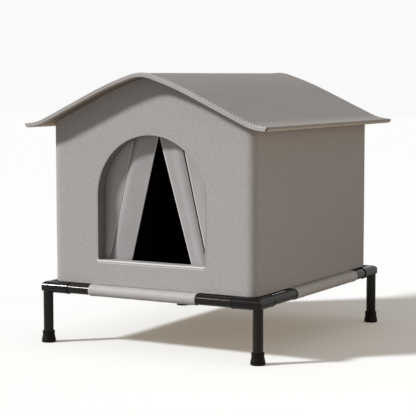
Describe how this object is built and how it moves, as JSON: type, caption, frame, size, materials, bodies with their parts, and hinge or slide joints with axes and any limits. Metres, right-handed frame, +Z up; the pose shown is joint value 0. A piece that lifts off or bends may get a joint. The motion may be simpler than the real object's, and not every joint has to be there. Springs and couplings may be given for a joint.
{
  "type": "cat house",
  "caption": "Raised cat house: gabled padded-board body with an arched doorway, hanging curtain strips and a lift-off roof, on a tube stand with a sling cloth.",
  "frame": {"origin": "on the floor, under the middle of the stand", "axes": "+X to the right seen from the front, -Y out of the doorway, +Z up"},
  "size_m": [0.508, 0.558, 0.511],
  "materials": {
    "connector": "glossy black moulding",
    "tube": "satin black powder coat",
    "foot": "matte black rubber",
    "sling": "smooth grey coated cloth",
    "wall": "matte grey felt-faced padded board",
    "binding": "grey bound edge",
    "curtain": "satin grey coated cloth",
    "roof": "grey fine-ribbed cloth over board",
    "tape": "dark grey hook-and-loop tape"
  },
  "bodies": {
    "stand": {"corner_connector_front_left": "connector", "corner_connector_front_right": "connector", "corner_connector_rear_right": "connector", "corner_connector_rear_left": "connector", "leg_front_left": "tube", "leg_front_right": "tube", "leg_rear_right": "tube", "leg_rear_left": "tube", "foot_front_left": "foot", "foot_front_right": "foot", "foot_rear_right": "foot", "foot_rear_left": "foot", "rail_front": "tube", "rail_rear": "tube", "rail_left": "tube", "rail_right": "tube", "sling_cloth": "sling"},
    "house": {"front_wall": "wall", "rear_wall": "wall", "left_wall": "wall", "right_wall": "wall", "floor_board": "wall", "door_binding": "binding", "curtain_header": "curtain", "loop_tape": "tape"},
    "strip_inner_left": {"curtain_inner_left": "curtain"},
    "strip_inner_right": {"curtain_inner_right": "curtain"},
    "strip_outer_left": {"curtain_outer_left": "curtain"},
    "strip_outer_right": {"curtain_outer_right": "curtain"},
    "roof": {"roof_board": "roof", "roof_binding_front": "binding", "roof_binding_rear": "binding", "roof_binding_left": "binding", "roof_binding_right": "binding", "hook_tape": "tape"}
  },
  "joints": [
    {"name": "house_lift", "type": "slide", "parent": "stand", "child": "house", "axis": [0, 0, 1], "range_m": [0, 0.2]},
    {"name": "roof_lift", "type": "slide", "parent": "house", "child": "roof", "axis": [0, 0, 1], "range_m": [0, 0.15]},
    {"name": "strip_inner_left_swing", "type": "hinge", "parent": "house", "child": "strip_inner_left", "pos_m": [0, -0.221, 0.4099], "axis": [1, 0, 0], "range_deg": [0, 70]},
    {"name": "strip_inner_right_swing", "type": "hinge", "parent": "house", "child": "strip_inner_right", "pos_m": [0, -0.221, 0.4099], "axis": [1, 0, 0], "range_deg": [0, 70]},
    {"name": "strip_outer_left_swing", "type": "hinge", "parent": "house", "child": "strip_outer_left", "pos_m": [0, -0.221, 0.4099], "axis": [1, 0, 0], "range_deg": [0, 70]},
    {"name": "strip_outer_right_swing", "type": "hinge", "parent": "house", "child": "strip_outer_right", "pos_m": [0, -0.221, 0.4099], "axis": [1, 0, 0], "range_deg": [0, 70]}
  ]
}
